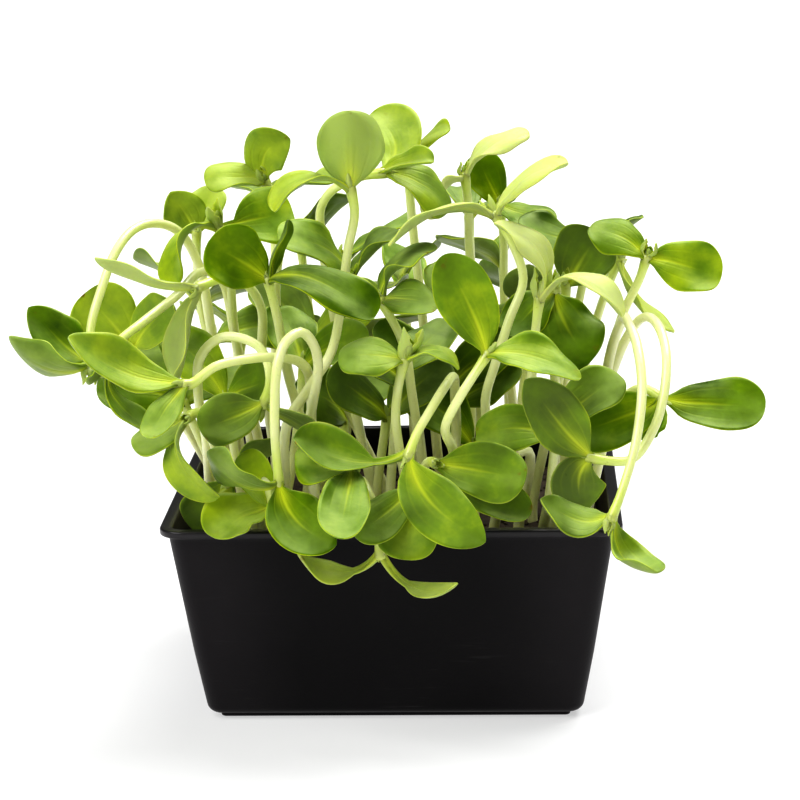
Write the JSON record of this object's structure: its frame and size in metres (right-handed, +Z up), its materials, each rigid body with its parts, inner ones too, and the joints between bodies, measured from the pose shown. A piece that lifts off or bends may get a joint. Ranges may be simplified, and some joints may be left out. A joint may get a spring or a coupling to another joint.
{
  "type": "microgreens tray",
  "caption": "Square black plastic tray filled with growing medium, with a dense, tangled crop of sunflower microgreens standing out of it.",
  "frame": {"origin": "on the surface the tray stands on, under the middle of the tray", "axes": "+Z up; +X across the tray to the viewer's right; +Y towards the back, so the front wall faces -Y"},
  "size_m": [0.2108, 0.1953, 0.1741],
  "materials": {
    "tray_plastic": "satin",
    "growing_medium": "matte",
    "seedling": "satin"
  },
  "bodies": {
    "root": {"tray": "tray_plastic", "soil": "growing_medium", "seedling_01": "seedling", "seedling_02": "seedling", "seedling_03": "seedling", "seedling_04": "seedling", "seedling_05": "seedling", "seedling_06": "seedling", "seedling_07": "seedling", "seedling_08": "seedling", "seedling_09": "seedling", "seedling_10": "seedling", "seedling_11": "seedling", "seedling_12": "seedling", "seedling_13": "seedling", "seedling_14": "seedling", "seedling_15": "seedling", "seedling_16": "seedling", "seedling_17": "seedling", "seedling_18": "seedling", "seedling_19": "seedling", "seedling_20": "seedling", "seedling_21": "seedling", "seedling_22": "seedling", "seedling_23": "seedling", "seedling_24": "seedling", "seedling_25": "seedling", "seedling_26": "seedling", "seedling_27": "seedling", "seedling_28": "seedling", "seedling_29": "seedling", "seedling_30": "seedling", "seedling_31": "seedling", "seedling_32": "seedling", "seedling_33": "seedling", "seedling_34": "seedling", "seedling_35": "seedling", "seedling_36": "seedling", "seedling_37": "seedling", "seedling_38": "seedling", "seedling_39": "seedling", "seedling_40": "seedling", "seedling_41": "seedling", "seedling_42": "seedling", "seedling_43": "seedling", "seedling_44": "seedling", "seedling_45": "seedling", "seedling_46": "seedling", "seedling_47": "seedling", "seedling_48": "seedling", "seedling_49": "seedling", "seedling_50": "seedling", "seedling_51": "seedling", "seedling_52": "seedling", "seedling_53": "seedling", "seedling_54": "seedling", "seedling_55": "seedling", "seedling_56": "seedling", "seedling_57": "seedling", "seedling_58": "seedling"}
  },
  "joints": []
}
